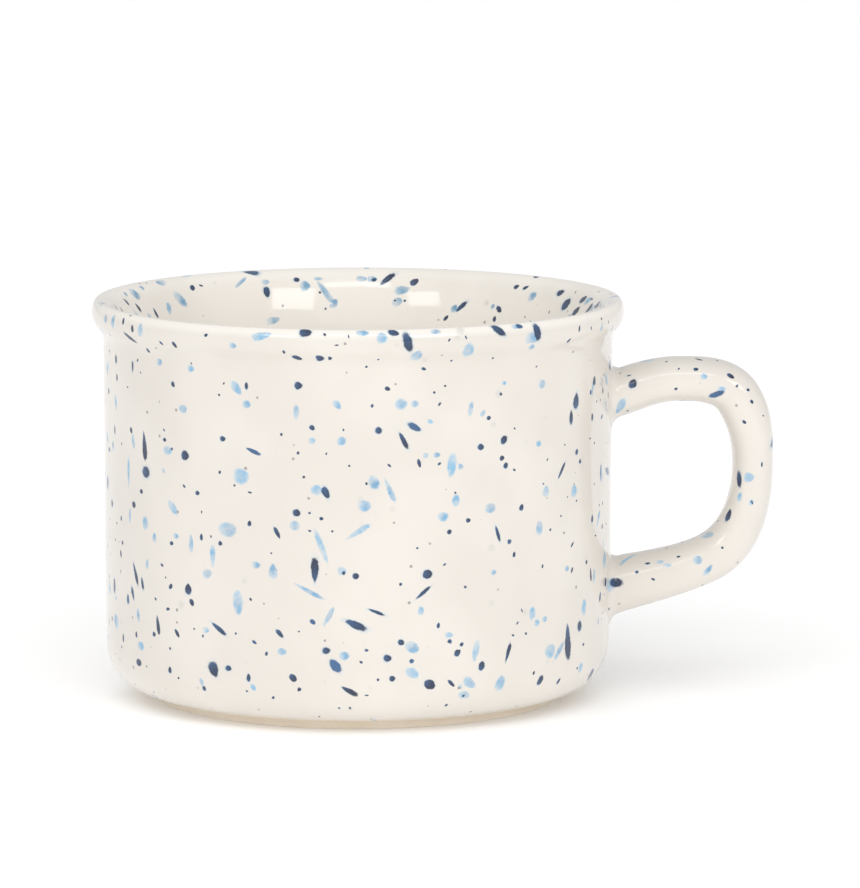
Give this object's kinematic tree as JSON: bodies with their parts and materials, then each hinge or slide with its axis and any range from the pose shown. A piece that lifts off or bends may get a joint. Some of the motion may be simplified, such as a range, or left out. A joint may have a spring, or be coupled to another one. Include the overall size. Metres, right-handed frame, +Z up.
{
  "type": "ceramic mug",
  "caption": "Straight-sided stoneware mug with a rolled rim, rounded bottom corner, bare clay foot ring and a looped side handle.",
  "frame": {"origin": "on the cup's axis, in the plane of the foot ring that it stands on", "axes": "+Z up along the cup's axis and out of its mouth, +X towards the handle, +Y across the handle"},
  "size_m": [0.1345, 0.105, 0.079],
  "materials": {
    "bare_clay": "matt fired stoneware, buff",
    "joining_slip": "matt fired slip",
    "outer_glaze": "glossy ivory glaze with navy and light blue splatter",
    "liner_glaze": "glossy warm ivory glaze with light splatter"
  },
  "bodies": {
    "root": {"cup_body": "bare_clay", "handle": "bare_clay", "upper_slip_joint": "joining_slip", "lower_slip_joint": "joining_slip", "outside_glaze": "outer_glaze", "liner_glaze": "liner_glaze", "handle_glaze": "outer_glaze", "recess_glaze": "liner_glaze"}
  },
  "joints": []
}
